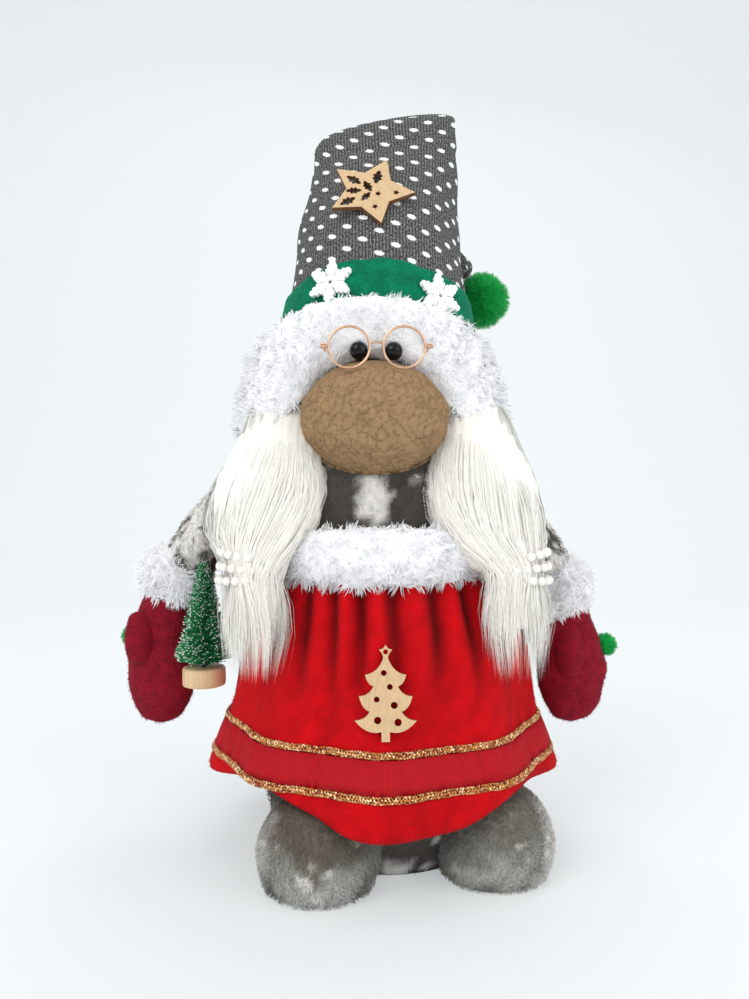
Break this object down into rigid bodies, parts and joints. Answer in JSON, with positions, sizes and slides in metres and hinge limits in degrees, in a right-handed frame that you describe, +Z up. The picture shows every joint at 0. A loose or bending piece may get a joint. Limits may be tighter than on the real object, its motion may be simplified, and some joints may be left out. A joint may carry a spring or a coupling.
{
  "type": "fabric christmas gnome",
  "caption": "Standing stuffed gnome with a folded knit hat, wire glasses, tied wool hair, a gathered red skirt and a small brush tree beside one mitten.",
  "frame": {"origin": "centre of the underside of the body's base panel, on the floor", "axes": "+Z up through the hat; the gnome faces -Y; +X is to the right as seen from the front"},
  "size_m": [0.2836, 0.1928, 0.4055],
  "materials": {
    "plush_grey": "short-pile grey plush with white spots",
    "fleece_red": "soft red fleece",
    "felt_red": "dark red felt",
    "fur_white": "long-pile white fur",
    "felt_green": "green felt",
    "knit_grey": "dark grey knit with white dots",
    "wool_white": "combed off-white wool",
    "fleece_tan": "tan fleece",
    "pompom_green": "green chenille pompom",
    "ribbon_red": "ribbed red ribbon",
    "gold_thread": "glittering gold thread",
    "wire_copper": "polished copper-coloured wire",
    "bead_black": "glossy black bead",
    "bead_pearl": "pearly white bead",
    "resin_white": "white cast resin",
    "plywood": "laser-cut plywood",
    "turned_wood": "turned light wood",
    "bristle_green": "green bristles with white tips on a twisted wire",
    "board": "fibre board",
    "stuffing": "polyester stuffing",
    "granules": "bag of granules"
  },
  "bodies": {
    "gnome": {"base_panel": "plush_grey", "base_board": "board", "weight_bag": "granules", "body_stuffing": "stuffing", "body_cover": "plush_grey", "foot_left": "plush_grey", "foot_right": "plush_grey", "skirt": "fleece_red", "ribbon_band": "ribbon_red", "gold_edge_upper": "gold_thread", "gold_edge_lower": "gold_thread", "waist_fur": "fur_white", "nose_cover": "fleece_tan", "nose_stuffing": "stuffing", "eye_left": "bead_black", "eye_right": "bead_black", "hat_crown": "knit_grey", "hat_stuffing": "stuffing", "hat_band": "felt_green", "hat_lining": "felt_green", "hat_brim": "fur_white", "snowflake_left": "resin_white", "snowflake_right": "resin_white", "wood_star": "plywood", "wood_fir": "plywood"},
    "hat_tail": {"hat_tail": "knit_grey"},
    "pompom": {"hat_pompom": "pompom_green"},
    "glasses": {"glasses_frame": "wire_copper", "temple_left": "wire_copper", "temple_right": "wire_copper"},
    "hair_left": {"hair_left": "wool_white", "pearl_tie_left": "bead_pearl"},
    "hair_right": {"hair_right": "wool_white", "pearl_tie_right": "bead_pearl"},
    "arm_left": {"sleeve_left": "plush_grey", "cuff_left": "fur_white", "mitten_left": "felt_red", "mitten_pompom_left": "pompom_green", "tree_foot": "turned_wood", "tree_brush": "bristle_green"},
    "arm_right": {"sleeve_right": "plush_grey", "cuff_right": "fur_white", "mitten_right": "felt_red", "mitten_pompom_right": "pompom_green"}
  },
  "joints": [
    {"name": "arm_left_swing", "type": "hinge", "parent": "gnome", "child": "arm_left", "pos_m": [-0.065, 0, 0.196], "axis": [1, 0, 0], "range_deg": [-45, 45]},
    {"name": "arm_right_swing", "type": "hinge", "parent": "gnome", "child": "arm_right", "pos_m": [0.055, 0, 0.196], "axis": [1, 0, 0], "range_deg": [-45, 45]},
    {"name": "hair_left_swing", "type": "hinge", "parent": "gnome", "child": "hair_left", "pos_m": [-0.057, -0.044, 0.23], "axis": [-1, 0, 0], "range_deg": [0, 20]},
    {"name": "hair_right_swing", "type": "hinge", "parent": "gnome", "child": "hair_right", "pos_m": [0.047, -0.044, 0.23], "axis": [-1, 0, 0], "range_deg": [0, 20]},
    {"name": "hat_tail_fold", "type": "hinge", "parent": "gnome", "child": "hat_tail", "pos_m": [0.0003, 0.008, 0.393], "axis": [0.9816, 0, 0.1908], "range_deg": [0, 70]},
    {"name": "pompom_swing", "type": "hinge", "parent": "hat_tail", "child": "pompom", "pos_m": [0.0525, 0.033, 0.324], "axis": [0.853, 0.5219, 0], "range_deg": [-15, 15]},
    {"name": "glasses_slide", "type": "slide", "parent": "gnome", "child": "glasses", "axis": [0, -1, 0], "range_m": [0, 0.036]}
  ]
}
